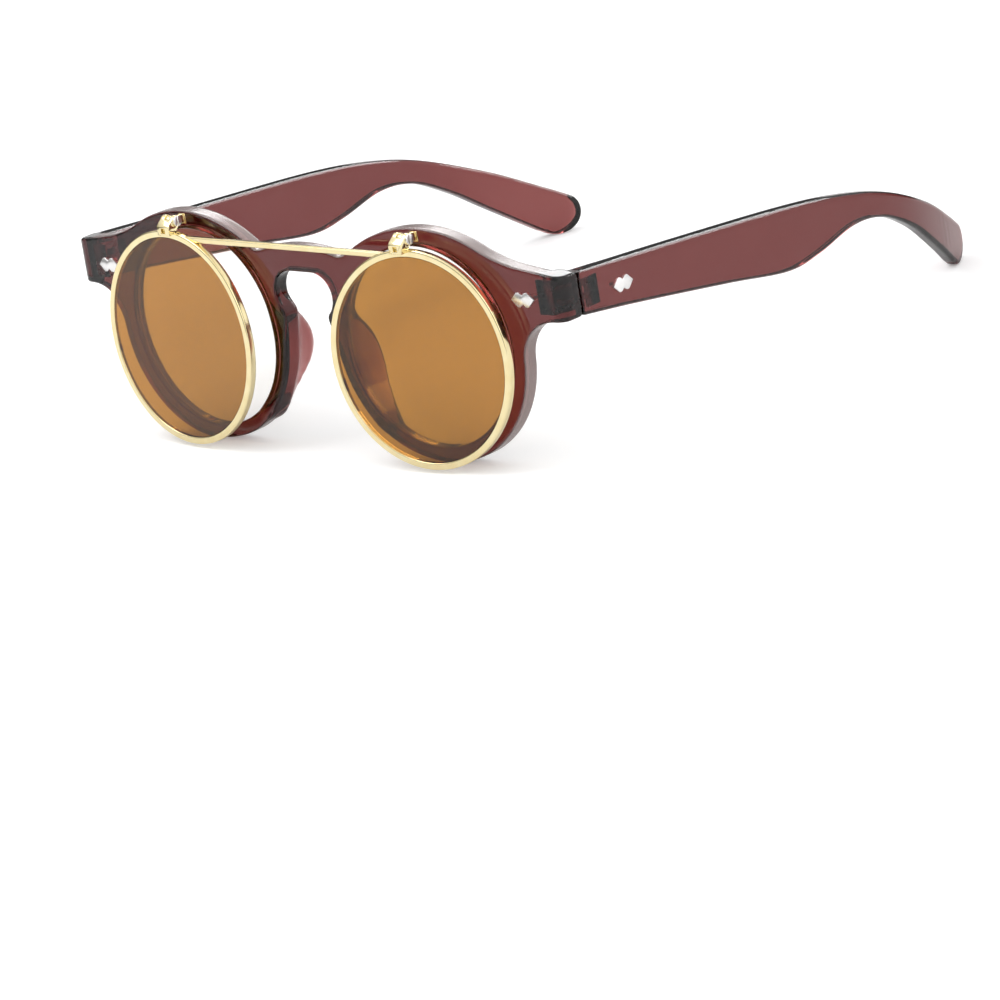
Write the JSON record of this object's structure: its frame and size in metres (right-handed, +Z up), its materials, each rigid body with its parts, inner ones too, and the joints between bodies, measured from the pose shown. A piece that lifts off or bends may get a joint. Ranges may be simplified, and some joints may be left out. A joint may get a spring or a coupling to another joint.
{
  "type": "flip up sunglasses",
  "caption": "Round sunglasses with a plastic front and clear lenses, folding temples, and a hinged metal front with tinted lenses that flips up.",
  "frame": {"origin": "centre of the bounding box seen from above, at the level of the surface that the rims and temple tips stand on", "axes": "+Z up; the lenses face -Y and the temples run towards +Y; +X is the wearer's left"},
  "size_m": [0.1418, 0.1469, 0.0498],
  "materials": {
    "plastic_front": "polished translucent acetate",
    "plastic_temple": "polished translucent acetate",
    "clear_lens": "clear polished",
    "tinted_lens": "brown tinted, polished",
    "gold": "pale gold plated",
    "silver": "bright plated",
    "hinge_steel": "plain nickel silver"
  },
  "bodies": {
    "front": {"front_frame": "plastic_front", "left_base_lens": "clear_lens", "left_front_rivet": "silver", "left_front_hinge": "hinge_steel", "left_hinge_screw": "silver", "left_flip_bracket": "gold", "right_base_lens": "clear_lens", "right_front_rivet": "silver", "right_front_hinge": "hinge_steel", "right_hinge_screw": "silver", "right_flip_bracket": "gold"},
    "left_temple": {"left_temple": "plastic_temple", "left_temple_hinge": "hinge_steel", "left_temple_rivet": "silver"},
    "right_temple": {"right_temple": "plastic_temple", "right_temple_hinge": "hinge_steel", "right_temple_rivet": "silver"},
    "flip_front": {"flip_bar": "gold", "left_flip_lug": "gold", "left_flip_screw": "gold", "left_flip_rim": "gold", "left_flip_lens": "tinted_lens", "right_flip_lug": "gold", "right_flip_screw": "gold", "right_flip_rim": "gold", "right_flip_lens": "tinted_lens"}
  },
  "joints": [
    {"name": "left_temple_fold", "type": "hinge", "parent": "front", "child": "left_temple", "pos_m": [0.0646, -0.05617, 0.03584], "axis": [0, 0.0283, 0.9996], "range_deg": [0, 88]},
    {"name": "right_temple_fold", "type": "hinge", "parent": "front", "child": "right_temple", "pos_m": [-0.0646, -0.05617, 0.03584], "axis": [0, -0.0283, -0.9996], "range_deg": [0, 75]},
    {"name": "flip_up", "type": "hinge", "parent": "front", "child": "flip_front", "pos_m": [0, -0.06821, 0.04863], "axis": [-1, 0, 0], "range_deg": [0, 100]}
  ]
}
